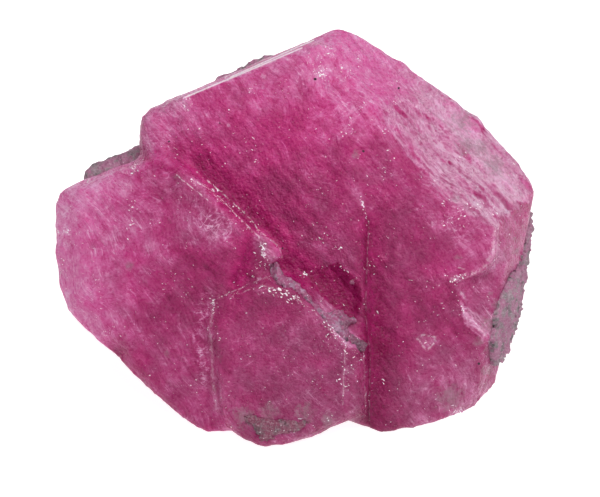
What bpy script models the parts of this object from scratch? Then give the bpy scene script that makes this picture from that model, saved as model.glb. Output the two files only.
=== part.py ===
"""A cluster of intergrown pink sapphire (corundum) crystals, with the grey rock it grew in still on it.

The cluster is shaped upright, square to its broad front faces, in millimetres: across runs to the right, up
runs up, and out runs towards someone facing it. It rests leaning back by LEAN, on a flat break cut at floor
level.
"""

import math

import bmesh
import bpy
from mathutils import Matrix, Vector, noise

MM = 0.001

# How the cluster rests.
LEAN = math.radians(35.0)  # it leans back this far from upright
REST_HEIGHT = 11.0  # the shaping frame's origin stands this high above the floor
REST_SHIFT = Vector((-0.1, -1.1, 0.0))  # brings the middle of the cluster's box over the part's origin
FLOOR_SIZE = 80.0

# How finely the surfaces are made.
GRAIN = 0.36  # spacing of the points that carry the crystals' relief
ROCK_GRAIN = 0.27  # spacing of the points that carry the rock's relief
SLIVER = 0.03  # the longest edge that is collapsed

# Relief, in millimetres: how far it stands off the flat faces, and the size of its lumps.
STRIA_SLOPE = math.radians(44.0)
STRIA_WIDTH = 0.75
STRIA_LENGTH = 9.0
STRIA_DEPTH = 6.0
STRIAE = 0.07
WAVES, WAVE_SIZE = 0.06, 3.0
BREAK_START, BREAK_GAIN = 0.3, 2.0  # how much of a face's normal has to point back for it to be a break
BREAK_LUMPS, BREAK_LUMP_SIZE = 0.7, 5.5
BREAK_CRAGS, BREAK_CRAG_SIZE = 0.35, 2.4
ROCK_LUMPS, ROCK_LUMP_SIZE = 0.3, 4.0
ROCK_GRAINS, ROCK_GRAIN_SIZE = 0.2, 1.3
CRYSTAL_TRIANGLES = 7600

# Four crystals and the core they grew from, as the corners of their flat faces: (across, up, out).
UPPER_LEFT_CRYSTAL = (
    # front edge of the glossy top face, and the worn corner at its left end
    (-10.0, 12.2, 3.0), (2.3, 17.1, 2.6), (-12.2, 10.6, 2.4), (-12.2, 8.0, 2.6),
    (-13.5, 9.7, 0.6), (-13.2, 10.6, 0.4), (-12.5, 11.4, 0.4), (-11.2, 12.1, 0.6), (-13.2, 7.4, 0.4),
    # broad front face, from the seam on its right to where the other crystals cover it
    (5.6, 8.6, 5.5), (5.9, 4.0, 6.1), (6.1, 0.0, 6.5), (6.3, -9.1, 6.6), (6.2, -15.0, 5.6),
    (-12.0, -6.0, 1.8),
    # back edge of the top face, and the broken back
    (-10.6, 12.2, -5.0), (-7.6, 13.5, -8.0), (-2.6, 15.8, -9.0), (4.0, 18.0, -7.0), (8.0, 15.0, -8.0),
    (-12.5, 2.0, -6.0), (-6.0, 4.0, -12.6), (3.0, 7.0, -13.5), (6.0, -8.0, -13.0), (-8.0, -8.0, -8.0),
)
RIGHT_CRYSTAL = (
    # tip, and the front edge of the bright upper face
    (4.2, 18.6, -0.6), (3.0, 16.9, 2.4), (5.2, 12.9, 4.2), (7.8, 9.1, 5.3), (12.4, 3.2, 5.9),
    (17.2, 0.8, 4.4),
    # outline of the bright upper face
    (5.3, 18.0, -1.4), (8.2, 16.2, -2.0), (11.8, 13.8, -2.4), (14.2, 12.0, -2.6), (16.8, 9.8, -2.8),
    (19.4, 7.1, -2.7), (21.0, 4.3, -2.8), (20.7, 3.2, -3.2),
    # front face, along the seam and then round its lower edge
    (5.4, 8.6, 5.3), (5.6, 0.0, 5.3), (5.6, -9.5, 5.1), (5.8, -16.0, 4.9), (7.8, -16.9, 5.1),
    (12.4, -15.7, 3.8), (15.8, -12.8, 2.8), (16.8, -7.6, 3.9),
    # steep right flank
    (20.0, 1.8, -3.6), (19.6, -2.4, -4.0), (18.2, -9.2, -2.8), (17.4, -12.8, -0.8), (15.2, -15.0, 1.6),
    # where the upper left crystal covers it, and the broken back
    (1.0, 6.0, 1.0), (0.0, -8.0, 1.0), (1.0, -14.0, 1.0),
    (2.0, 15.0, -7.5), (14.0, 9.0, -11.0), (19.0, 3.0, -10.0), (18.0, -5.0, -10.5), (8.0, 4.0, -13.5),
    (9.0, -7.0, -14.0), (14.5, -10.0, -9.0), (0.0, 0.0, -13.0), (0.0, -9.0, -12.0),
)
LEFT_CRYSTAL = (
    # front face, up to the crest along its upper right
    (-19.0, 4.2, 2.2), (-13.0, 6.6, 3.0), (-10.8, 6.0, 4.6), (-8.8, 3.7, 6.1), (-7.0, 1.9, 6.6),
    (-4.8, 0.0, 7.0), (-3.2, -1.9, 7.2), (-6.6, -5.4, 6.4), (-6.4, -15.6, 5.4), (-18.6, -5.4, 2.0),
    # far side of the crest, and the groove behind it
    (-10.4, 7.0, 3.6), (-8.3, 5.1, 5.0), (-5.5, 2.7, 5.8), (-3.9, 1.1, 6.2), (-1.6, -1.4, 6.2),
    (-10.0, 6.9, 1.0), (-8.2, 5.0, 1.0), (-5.4, 2.6, 1.6), (-3.8, 1.0, 2.0), (-1.5, -1.6, 2.0),
    # outline
    (-20.2, 4.5, 0.4), (-18.6, 5.2, 0.2), (-16.2, 6.2, 0.4), (-13.4, 7.1, 0.6), (-20.9, 3.5, 0.2),
    (-20.9, -0.9, -0.4), (-20.6, -3.9, 0.0), (-19.8, -6.2, 0.4), (-19.1, -7.0, 0.4), (-15.8, -9.5, 1.8),
    (-13.5, -11.9, 2.4), (-11.3, -14.2, 3.2), (-9.2, -16.0, 4.2), (-7.7, -16.9, 5.0), (-5.2, -16.6, 5.0),
    # broken back
    (-19.2, 2.6, -6.0), (-14.0, 5.2, -7.0), (-19.0, -4.0, -5.6), (-12.0, -9.0, -4.0), (-6.0, 0.0, -8.0),
    (-5.0, -14.0, 0.0),
)
SMALL_CRYSTAL = (
    # front face
    (-6.4, -5.9, 7.2), (-2.9, -3.7, 7.8), (0.6, -5.2, 8.2), (4.7, -9.4, 8.3), (5.2, -14.4, 7.6),
    (0.6, -16.8, 7.4), (-2.5, -17.5, 7.2), (-4.4, -16.9, 7.1), (-6.3, -14.2, 7.1), (-6.7, -8.7, 7.2),
    # outline, and the bevel along its upper right
    (-7.0, -5.2, 6.4), (-2.2, -2.6, 6.5), (-0.5, -2.9, 6.6), (3.4, -6.7, 6.9), (6.1, -9.2, 6.7),
    (6.4, -9.9, 6.3), (6.4, -14.9, 6.2), (0.9, -17.2, 6.3), (-2.3, -18.0, 6.7), (-4.4, -17.3, 6.4),
    (-6.1, -16.0, 6.0), (-7.1, -8.7, 6.3),
    # root
    (-6.6, -5.0, 1.0), (5.6, -6.0, 1.0), (6.3, -14.6, 2.0), (-6.4, -15.0, 2.0), (-1.0, -16.6, 2.0),
)
CORE = (
    (-6.0, 0.0, 2.0), (10.0, 0.0, 2.0), (0.0, -12.0, 2.0), (12.0, -10.0, 0.0), (-9.0, -10.0, -4.0),
    (-12.0, -5.0, -7.0), (-13.0, 4.0, -7.0), (-6.0, 8.0, -12.0), (4.0, 12.0, -12.5), (13.0, 9.0, -12.0),
    (17.5, 3.0, -11.0), (16.5, -6.0, -10.0), (8.0, -6.0, -16.0), (-4.0, -6.0, -15.0),
    (-7.6, -14.6, 1.6), (4.4, -15.4, 2.2), (12.0, -12.5, -3.0), (-10.0, -9.0, -8.0), (0.0, -9.0, -13.0),
)
# Thin growth steps on the glossy top face, one on another.
TOP_STEPS = (
    (
        (-9.6, 12.1, 2.6), (1.6, 16.9, 2.2), (-9.0, 12.9, 1.8), (1.0, 17.2, 1.4), (-7.8, 13.0, -5.0),
        (0.8, 17.3, -5.0),
    ),
    (
        (-8.0, 12.7, 1.6), (3.2, 17.6, 1.2), (-6.8, 13.9, 0.2), (2.6, 18.0, 0.0), (-5.0, 14.5, -6.5),
        (2.8, 18.1, -5.5),
    ),
)
# The worn rib along the left crystal's crest: points on its middle line (across, up, out), and its radius.
CREST_RIB = (
    ((-11.6, 7.0, 3.2), 0.5), ((-9.6, 5.2, 4.9), 0.6), ((-7.9, 3.7, 5.8), 0.6), ((-6.3, 2.4, 6.3), 0.6),
    ((-4.8, 1.2, 6.5), 0.65), ((-3.2, -0.1, 6.6), 0.9), ((-2.1, -1.3, 6.6), 1.0),
)
# Lumps that stand on the crystals: (across, up, out), radius.
LUMPS = (
    ((-11.7, 9.8, 1.0), 1.95), ((-12.4, 8.3, 0.9), 1.3), ((-20.4, 3.1, 0.6), 0.5),
    ((-20.5, -1.0, 0.2), 0.5), ((3.5, 17.7, -0.4), 0.8), ((9.0, 14.9, -2.0), 0.9),
    ((13.6, 11.2, -2.2), 1.1), ((15.4, 9.9, -2.6), 1.2),
)

# Shell-shaped breaks: (across, up, out) of the middle of the lost piece, and its half-widths.
SCOOPS = (
    ((9.9, 12.2, 5.0), (1.6, 1.3, 2.0)),
    ((1.4, 13.4, 5.0), (0.8, 1.0, 1.3)),
    ((-16.8, -9.8, 3.8), (2.6, 1.6, 2.6)),
    ((4.6, -17.2, 6.6), (1.5, 1.5, 4.0)),
)
# Flat-floored breaks: corners (across, up), how far out the floor lies at the first corner, and the rise of
# the floor for each millimetre across and up.
RECESS = (
    (14.4, -3.2), (15.4, -3.1), (16.5, -2.5), (17.3, -1.3), (17.6, 0.6), (18.0, 1.6), (19.0, 1.8),
    (20.4, -1.5), (19.3, -5.6), (17.6, -6.3), (16.2, -7.4), (15.0, -6.4),
)
DARK_FACET = ((-0.2, -2.4), (3.2, -1.9), (5.7, -4.6), (5.2, -7.2), (2.4, -4.8))
LEDGES = ((RECESS, 4.2, -0.5, 0.05), (DARK_FACET, 5.2, 0.05, -0.05))
# Narrow grooves: the line (across, up) they follow, half-width and depth.
GROOVES = (
    (((-3.8, 0.0), (-4.4, -2.2), (-5.3, -4.6)), 1.2, 0.45),
    (((5.9, 1.7), (6.2, -4.0), (6.4, -16.0)), 0.6, 0.5),
)

# The grey rock, as the corners of the overlapping blocks that make it up. Blocks reach into the crystals,
# and all of a block that is nearer than ROCK_LIFT to them is taken away, so the two stay separate solids.
ROCK_LIFT = 0.4
BACK_ROCK = (
    # across the back
    (
        (-13.6, 5.4, -8.4), (-8.4, 8.4, -12.8), (-7.0, 2.4, -16.0), (4.2, 11.6, -14.6), (8.0, 4.4, -17.4),
        (13.4, 8.6, -13.8), (19.4, 3.6, -13.0), (18.4, -1.0, -13.0), (-12.0, 2.6, -10.0), (-8.0, 4.0, -6.0),
        (12.0, 6.0, -6.0), (14.0, 0.0, -6.0), (0.0, 2.0, -8.0),
    ),
    # onto the left crystal's upper edge
    (
        (-18.8, 5.6, -0.6), (-16.1, 6.8, -0.4), (-13.6, 7.9, -0.6), (-18.6, 5.2, -5.6), (-13.2, 8.6, -7.4),
        (-10.4, 9.0, -10.8), (-16.8, 4.8, -8.2), (-12.6, 4.6, -9.6), (-17.0, 2.0, -3.0), (-12.0, 3.0, -4.0),
    ),
    # up to the back edge of the glossy top face
    (
        (-7.6, 12.4, -11.0), (-7.1, 14.2, -9.6), (-6.1, 15.0, -9.6), (-2.9, 16.5, -9.8),
        (-2.1, 16.6, -10.2), (4.0, 15.4, -11.4), (9.0, 13.4, -12.2), (13.2, 9.4, -13.8), (4.0, 8.0, -16.0),
        (-7.6, 8.0, -14.4), (0.0, 8.0, -7.0), (8.0, 8.0, -7.0),
    ),
)
FLANK_ROCK = (
    (
        (20.9, 2.6, -4.4), (21.2, 1.0, -5.0), (21.2, -1.4, -5.4), (20.0, -7.0, -4.2), (19.2, -9.6, -1.4),
        (18.5, -11.2, 0.4), (19.8, -1.0, -1.2), (18.9, -5.2, 1.6), (17.6, -6.9, 4.0), (17.5, -9.2, 3.7),
        (17.4, -11.2, 2.0), (20.4, 3.2, -12.6), (19.6, -1.6, -12.0), (19.0, -4.0, -9.0), (18.8, -7.2, -4.8),
        (15.0, -2.0, -6.0), (15.0, -8.0, -2.0),
    ),
)
# Smaller patches of rock, as runs of balls joined to each other: (across, up, out), radius.
SEAM_ROCK = (
    (
        ((-1.5, -2.8, 7.4), 0.45), ((-0.5, -3.4, 7.5), 0.5), ((0.7, -4.3, 7.6), 0.5),
        ((1.4, -5.1, 7.6), 0.6), ((2.4, -6.3, 7.6), 0.55), ((3.5, -7.4, 7.6), 0.65),
        ((4.8, -8.2, 7.5), 0.6), ((6.0, -9.0, 7.2), 0.65),
    ),
    (((3.4, -7.2, 7.5), 0.6), ((3.9, -6.1, 7.2), 0.6), ((4.8, -6.8, 7.1), 0.55)),
)
FOOT_ROCK = (
    (
        ((-4.1, -15.2, 7.2), 0.7), ((-2.8, -16.0, 7.2), 1.0), ((-1.4, -15.9, 7.3), 0.9),
        ((0.2, -16.0, 7.3), 0.9), ((1.6, -15.4, 7.4), 0.8),
    ),
    (((-2.6, -16.9, 7.0), 0.8), ((-0.8, -16.6, 7.2), 0.8)),
)
BACK_ROCK_TRIANGLES = 1700
FLANK_ROCK_TRIANGLES = 640
SEAM_ROCK_TRIANGLES = 420
FOOT_ROCK_TRIANGLES = 340

SAPPHIRE_COLOUR = (0.48, 0.06, 0.24)
SAPPHIRE_ROUGHNESS = 0.3
ROCK_COLOUR = (0.36, 0.36, 0.38)
ROCK_ROUGHNESS = 0.85


def clear_scene():
    for old in list(bpy.data.objects):
        bpy.data.objects.remove(old)


def place(across, up, out):
    """A point of the shaping frame, in metres: X across, Y away from the viewer, Z up."""
    return Vector((across, -out, up)) * MM


def resting():
    """The movement from the shaping frame to how the cluster rests."""
    lean = Matrix.Rotation(-LEAN, 4, "X")
    return Matrix.Translation((REST_SHIFT + Vector((0.0, 0.0, REST_HEIGHT))) * MM) @ lean


# Meshes

def add_hull(bm, points):
    """Adds the convex solid that these points span."""
    made = bmesh.ops.convex_hull(bm, input=[bm.verts.new(p) for p in points])
    spare = [g for g in made["geom_interior"] if isinstance(g, bmesh.types.BMVert)]
    bmesh.ops.delete(bm, geom=spare, context="VERTS")


def add_block(bm, corners):
    """Adds the flat-faced crystal that has these corners."""
    add_hull(bm, [place(*c) for c in corners])


def ball(centre, radius):
    """Points all over a small ball."""
    bm = bmesh.new()
    middle = Matrix.Translation(place(*centre))
    bmesh.ops.create_icosphere(bm, subdivisions=2, radius=radius * MM, matrix=middle)
    points = [v.co.copy() for v in bm.verts]
    bm.free()
    return points


def add_rib(bm, beads):
    """Adds a rounded rib, as a run of links that each join one bead to the next."""
    for start, end in zip(beads, beads[1:]):
        add_hull(bm, ball(*start) + ball(*end))


def object_from(bm, name):
    mesh = bpy.data.meshes.new(name)
    bm.to_mesh(mesh)
    bm.free()
    made = bpy.data.objects.new(name, mesh)
    bpy.context.scene.collection.objects.link(made)
    return made


def settle_modifiers(obj):
    """Replaces the object's mesh by what its modifiers make of it."""
    bpy.context.view_layer.update()
    graph = bpy.context.evaluated_depsgraph_get()
    mesh = bpy.data.meshes.new_from_object(obj.evaluated_get(graph), depsgraph=graph)
    obj.modifiers.clear()
    obj.data = mesh
    mesh.name = obj.name


def fuse(obj, spacing):
    """Fuses overlapping blocks into one skin whose points lie this far apart."""
    remesh = obj.modifiers.new("Fuse", "REMESH")
    remesh.mode = "VOXEL"
    remesh.voxel_size = spacing * MM
    settle_modifiers(obj)


def thin_out(obj, triangles):
    """Keeps this many triangles, where the shape needs them most."""
    obj.data.calc_loop_triangles()
    decimate = obj.modifiers.new("Thin out", "DECIMATE")
    decimate.ratio = triangles / len(obj.data.loop_triangles)
    decimate.use_collapse_triangulate = True
    settle_modifiers(obj)


def drop_small_islands(bm):
    """Keeps the largest connected piece of the mesh."""
    left = set(bm.verts)
    islands = []
    while left:
        todo = [left.pop()]
        island = []
        while todo:
            vert = todo.pop()
            island.append(vert)
            for edge in vert.link_edges:
                other = edge.other_vert(vert)
                if other in left:
                    left.remove(other)
                    todo.append(other)
        islands.append(island)
    islands.sort(key=len)
    for island in islands[:-1]:
        bmesh.ops.delete(bm, geom=island, context="VERTS")


def keep_largest_island(obj):
    bm = bmesh.new()
    bm.from_mesh(obj.data)
    drop_small_islands(bm)
    bm.to_mesh(obj.data)
    bm.free()


def close_slivers(obj):
    """Collapses the edges too short to matter, and leaves triangles only."""
    bm = bmesh.new()
    bm.from_mesh(obj.data)
    bmesh.ops.dissolve_degenerate(bm, dist=SLIVER * MM, edges=bm.edges)
    bmesh.ops.triangulate(bm, faces=bm.faces)
    bm.to_mesh(obj.data)
    bm.free()


def lift(obj, relief):
    """Moves each vertex along its normal by relief(vertex), in millimetres."""
    places = [v.co + v.normal * relief(v) * MM for v in obj.data.vertices]
    for vert, spot in zip(obj.data.vertices, places):
        vert.co = spot


# Relief of the crystals

def rough(p, size, octaves=3):
    """Smooth fractal relief of about -1 to 1, with lumps of this size in millimetres."""
    return noise.fractal(p / (size * MM), 1.0, 2.0, octaves, noise_basis="PERLIN_ORIGINAL")


def striae(p):
    """Long fine growth ridges, of about -1 to 1, that slope down to the right across the front faces."""
    along = p.x * math.cos(STRIA_SLOPE) - p.z * math.sin(STRIA_SLOPE)
    side = p.x * math.sin(STRIA_SLOPE) + p.z * math.cos(STRIA_SLOPE)
    return noise.noise(Vector((side / STRIA_WIDTH, along / STRIA_LENGTH, p.y / STRIA_DEPTH)) / MM)


def inside(outline, across, up):
    """Whether a point lies in the outline: a line to its right then crosses it an odd number of times."""
    crossed = False
    for (a0, u0), (a1, u1) in zip(outline, outline[1:] + outline[:1]):
        if (u0 > up) != (u1 > up) and across < a0 + (a1 - a0) * (up - u0) / (u1 - u0):
            crossed = not crossed
    return crossed


def line_distance(line, across, up):
    """The distance from a point to a line of straight runs."""
    point = Vector((across, up))
    nearest = math.inf
    for start, end in zip(line, line[1:]):
        a, b = Vector(start), Vector(end)
        t = max(0.0, min(1.0, (point - a).dot(b - a) / (b - a).length_squared))
        nearest = min(nearest, (point - a.lerp(b, t)).length)
    return nearest


def broken_away(p):
    """Where a point of the surface ends up once the breaks have taken their pieces."""
    across, up, out = p.x / MM, p.z / MM, -p.y / MM
    if out < 0.0:
        return p
    for (mid_across, mid_up, mid_out), (half_across, half_up, half_out) in SCOOPS:
        level = ((across - mid_across) / half_across) ** 2 + ((up - mid_up) / half_up) ** 2
        if level < 1.0:
            out = min(out, mid_out - half_out * math.sqrt(1.0 - level))
    for outline, floor, rise_across, rise_up in LEDGES:
        if inside(outline, across, up):
            a0, u0 = outline[0]
            out = min(out, floor + rise_across * (across - a0) + rise_up * (up - u0))
    for line, half_width, depth in GROOVES:
        out -= depth * max(0.0, 1.0 - line_distance(line, across, up) / half_width)
    return place(across, up, out)


def crystal_relief(vert):
    """How far the surface stands off its flat faces, in millimetres. It is rough where it broke off."""
    p = vert.co
    broken = max(0.0, min(1.0, BREAK_GAIN * (vert.normal.y - BREAK_START)))
    relief = WAVES * rough(p, WAVE_SIZE) + STRIAE * striae(p) * (1.0 - broken)
    lumps = BREAK_LUMPS * rough(p, BREAK_LUMP_SIZE, 4)
    crags = BREAK_CRAGS * abs(rough(p, BREAK_CRAG_SIZE, 2))
    return relief + broken * (lumps + crags)


def grow_crystals():
    bm = bmesh.new()
    for corners in (UPPER_LEFT_CRYSTAL, RIGHT_CRYSTAL, LEFT_CRYSTAL, SMALL_CRYSTAL, CORE, *TOP_STEPS):
        add_block(bm, corners)
    add_rib(bm, CREST_RIB)
    for lump in LUMPS:
        add_hull(bm, ball(*lump))
    crystals = object_from(bm, "sapphire_crystals")
    fuse(crystals, GRAIN)
    for vert in crystals.data.vertices:
        vert.co = broken_away(vert.co)
    fuse(crystals, GRAIN)
    lift(crystals, crystal_relief)
    keep_largest_island(crystals)
    return crystals


# The grey rock

def rock_relief(vert):
    """How far the rock stands off its blocks, in millimetres: it is granular."""
    lumps = ROCK_LUMPS * rough(vert.co, ROCK_LUMP_SIZE)
    grains = ROCK_GRAINS * abs(rough(vert.co, ROCK_GRAIN_SIZE, 2))
    return lumps + grains


def crystal_bed(crystals):
    """The space that the rock leaves to the crystals: ROCK_LIFT wider than they are on every side."""
    bed = bpy.data.objects.new("crystal_bed", crystals.data.copy())
    bpy.context.scene.collection.objects.link(bed)
    lift(bed, lambda vert: ROCK_LIFT)
    fuse(bed, GRAIN)
    return bed


def grow_rock(name, blocks, runs, bed, triangles):
    """Rock made of blocks and of runs of balls, without what lies in the crystals' bed."""
    bm = bmesh.new()
    for corners in blocks:
        add_block(bm, corners)
    for beads in runs:
        add_rib(bm, beads)
    rock = object_from(bm, name)
    fuse(rock, ROCK_GRAIN)
    lift(rock, rock_relief)
    fuse(rock, ROCK_GRAIN)
    cut = rock.modifiers.new("Bed", "BOOLEAN")
    cut.operation = "DIFFERENCE"
    cut.solver = "EXACT"
    cut.object = bed
    settle_modifiers(rock)
    keep_largest_island(rock)
    thin_out(rock, triangles)
    close_slivers(rock)
    return rock


def floor_cutter():
    bm = bmesh.new()
    below = Matrix.Translation((0.0, 0.0, -FLOOR_SIZE * MM / 2))
    bmesh.ops.create_cube(bm, size=FLOOR_SIZE * MM, matrix=below)
    cutter = object_from(bm, "floor_cut")
    cutter.hide_render = True
    cutter.display_type = "WIRE"
    return cutter


def cut_flat(obj, cutter):
    cut = obj.modifiers.new("Flat break", "BOOLEAN")
    cut.operation = "DIFFERENCE"
    cut.solver = "EXACT"
    cut.object = cutter


# Materials

def material(name, colour, roughness):
    made = bpy.data.materials.new(name)
    made.use_nodes = True
    surface = made.node_tree.nodes["Principled BSDF"]
    surface.inputs["Base Color"].default_value = (*colour, 1.0)
    surface.inputs["Roughness"].default_value = roughness
    surface.inputs["Metallic"].default_value = 0.0
    return made


def build():
    clear_scene()
    crystals = grow_crystals()
    bed = crystal_bed(crystals)
    rocks = [
        grow_rock("matrix_back", BACK_ROCK, (), bed, BACK_ROCK_TRIANGLES),
        grow_rock("matrix_flank", FLANK_ROCK, (), bed, FLANK_ROCK_TRIANGLES),
        grow_rock("matrix_seam", (), SEAM_ROCK, bed, SEAM_ROCK_TRIANGLES),
        grow_rock("matrix_foot", (), FOOT_ROCK, bed, FOOT_ROCK_TRIANGLES),
    ]
    bpy.data.objects.remove(bed)
    thin_out(crystals, CRYSTAL_TRIANGLES)
    close_slivers(crystals)
    for rock in rocks:
        rock.data.transform(resting())
        rock.data.materials.append(material(rock.name, ROCK_COLOUR, ROCK_ROUGHNESS))
    crystals.data.transform(resting())
    crystals.data.materials.append(material("sapphire", SAPPHIRE_COLOUR, SAPPHIRE_ROUGHNESS))
    cut_flat(crystals, floor_cutter())


build()
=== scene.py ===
"""The look of a pink sapphire cluster.

The crystals get growth ridges, ledges, chips and worn edges, and the rock gets its grains. Then come the
materials of both, with some light and shade painted into the crystals' colour and glints painted on both,
and a white studio round them.

Features are placed in the part's shaping frame, in millimetres: across runs to the right, up runs up, and out
runs towards someone facing the broad front faces. The cluster then leans back by LEAN.
"""

import math

import bmesh
import bpy
import numpy as np
from mathutils import Matrix, Vector, noise
from mathutils.bvhtree import BVHTree


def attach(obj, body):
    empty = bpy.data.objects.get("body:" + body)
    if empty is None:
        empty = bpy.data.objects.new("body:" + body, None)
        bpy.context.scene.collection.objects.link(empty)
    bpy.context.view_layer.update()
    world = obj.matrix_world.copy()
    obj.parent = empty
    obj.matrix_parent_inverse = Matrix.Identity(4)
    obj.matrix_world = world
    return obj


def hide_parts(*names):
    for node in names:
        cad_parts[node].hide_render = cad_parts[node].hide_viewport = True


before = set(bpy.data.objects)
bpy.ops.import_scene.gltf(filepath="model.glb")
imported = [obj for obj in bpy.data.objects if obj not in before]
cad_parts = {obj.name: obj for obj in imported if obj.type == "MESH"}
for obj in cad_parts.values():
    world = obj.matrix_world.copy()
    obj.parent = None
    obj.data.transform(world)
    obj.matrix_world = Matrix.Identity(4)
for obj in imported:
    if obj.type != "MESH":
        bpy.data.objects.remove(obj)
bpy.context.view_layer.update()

MM = 0.001

# How the cluster rests: it leans back, with the shaping frame's origin at this place, in metres.
LEAN = math.radians(35.0)
ORIGIN = Vector((-0.1, -1.1, 11.0)) * MM

# The camera looks square at the front faces, from above.
IMAGE_WIDTH = 600.0
IMAGE_HEIGHT = 497.0
PIXELS_PER_MM = 11.5
ORIGIN_PIXEL = (295.0, 240.0)  # where the shaping frame's origin comes in the picture
LENS = 420.0  # focal length in millimetres
SENSOR = 36.0  # width of the sensor in millimetres

# How finely the surfaces are made, in millimetres.
CRYSTAL_GRAIN = 0.36
SMALL_ROCK_GRAIN = 0.16
LARGE_ROCK_GRAIN = 0.3
FINE_FACING = 0.05  # faces whose normal points out by more than this are made twice as fine
SOFTENING = 15  # how many times over the foot of the groove is smoothed

# Growth ridges run down to the right across the front faces, and ledges and dark hairs almost alongside them.
# Other strokes in the crystals run a little steeper, across them, or nearly level.
STRIAE_SLOPE = math.radians(-48.0)
LEDGE_SLOPE = math.radians(-42.0)
DARK_SLOPE = STRIAE_SLOPE + 0.05
STEEP_SLOPE = STRIAE_SLOPE - math.radians(14.0)
CROSSING_SLOPE = STRIAE_SLOPE + math.radians(66.0)
LEVEL_SLOPE = math.radians(-12.0)

# Lines and outlines mark the front only: they fade in between these places out. Spots reach further back.
LINE_FADE = (-3.0, -1.0)
SPOT_FADE = (-9.0, -7.0)

# Lines and outlines on the crystals: (across, up). The half-moon's rim is a line too, so it is closed.
CREST = ((-8.5, 5.9), (-6.1, 3.9), (-4.1, 2.1), (-3.0, 0.7), (-2.2, 0.1))
CREST_INNER = ((-10.2, 5.6), (-8.6, 4.3), (-7.0, 3.0))
CREST_MIDDLE = ((-8.9, 5.2), (-7.0, 4.2), (-4.6, 1.7), (-3.1, 0.3), (-2.6, -1.4))
KNOB = ((-2.2, 0.1), (-1.3, -0.7), (-1.1, -1.6), (-1.5, -2.3), (-2.3, -2.0), (-2.9, -1.0))
KNOB_SPINE = ((-3.0, 0.1), (-1.8, -1.2))
GROOVE = ((-8.0, 6.7), (-6.1, 4.6), (-4.2, 2.6), (-2.2, 0.7), (-0.9, -1.3), (0.9, -2.8))
GROOVE_FOOT = ((-8.0, 7.1), (-6.9, 5.9), (-4.3, 3.1), (-0.8, -1.1))
CREST_SHADE = ((-6.2, 3.2), (-4.9, 2.0), (-3.2, 0.5))
CREASE = ((-3.8, 0.1), (-4.3, -1.7), (-5.2, -3.8))
SEAM = ((5.7, 3.8), (6.35, 1.6), (6.1, -5.2), (6.2, -7.8), (6.5, -9.6), (6.4, -15.6))
SEAM_SHADE = ((6.6, 1.0), (7.0, -5.0), (7.2, -9.6), (7.0, -15.0))
SEAM_GLINTS = ((5.7, 3.8), (5.9, 2.8), (6.2, 1.7))
DARK_FACET = ((0.4, -2.9), (3.7, -1.9), (5.6, -3.6), (5.8, -5.6), (5.0, -7.1), (2.2, -4.8))
FACET_EDGE = ((0.7, -3.0), (3.7, -2.0), (5.4, -3.5))
SMALL_TOP = ((-7.0, -5.2), (-5.7, -4.6), (-3.0, -3.4), (-1.5, -2.9))
SMALL_BEVEL = ((-5.6, -4.9), (-2.9, -3.9), (-0.6, -4.5), (1.6, -6.1), (4.3, -9.2), (4.1, -14.2))
BEVEL_GLINTS = (
    (-3.0, -4.4), (-1.5, -4.4), (0.4, -6.0), (1.8, -6.5), (3.0, -7.3), (4.6, -9.2), (5.6, -10.2),
)
SMALL_EDGE = ((-7.0, -5.2), (-7.3, -7.6), (-7.1, -10.7), (-7.0, -12.8), (-6.8, -14.5))
SMALL_RIGHT = ((5.9, -9.5), (6.1, -14.8))
BRIGHT_RIDGE = ((2.8, 16.6), (5.0, 13.2), (7.8, 9.1), (12.4, 3.2), (16.2, 1.0), (17.6, -0.6))
LIT_FACE_RIM = ((8.6, 12.4), (12.0, 10.6), (19.0, 3.4), (21.5, 3.0), (21.5, 9.0), (12.0, 18.0), (8.0, 17.0))
TOP_EDGE = ((-9.5, 12.35), (-3.0, 15.1), (0.6, 16.65))
TOP_SECOND = ((-5.6, 14.1), (1.6, 17.35))
TOP_DARK = ((-4.4, 14.9), (2.2, 17.75))
DARK_STREAK = ((-11.65, -5.7), (-11.5, -7.4))
LOBE_EDGE = ((17.5, 1.2), (17.3, 0.9), (17.1, -1.0), (16.3, -2.5), (14.5, -3.2), (13.6, -3.4))
LOBE_INNER = ((13.9, -2.3), (15.2, -2.7), (16.1, -2.6))
RECESS_RIDGE = ((14.3, -5.2), (14.8, -6.4), (15.6, -7.4), (16.6, -8.4))
RECESS_WEDGE = ((14.3, -5.5), (14.9, -5.8), (17.0, -7.7), (17.2, -9.0), (16.2, -8.7), (14.6, -7.2))
HALF_MOON = (
    (10.5, -8.5), (11.0, -8.2), (12.1, -8.4), (12.1, -8.8), (11.4, -9.5), (10.9, -9.0), (10.5, -8.5),
)
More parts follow.
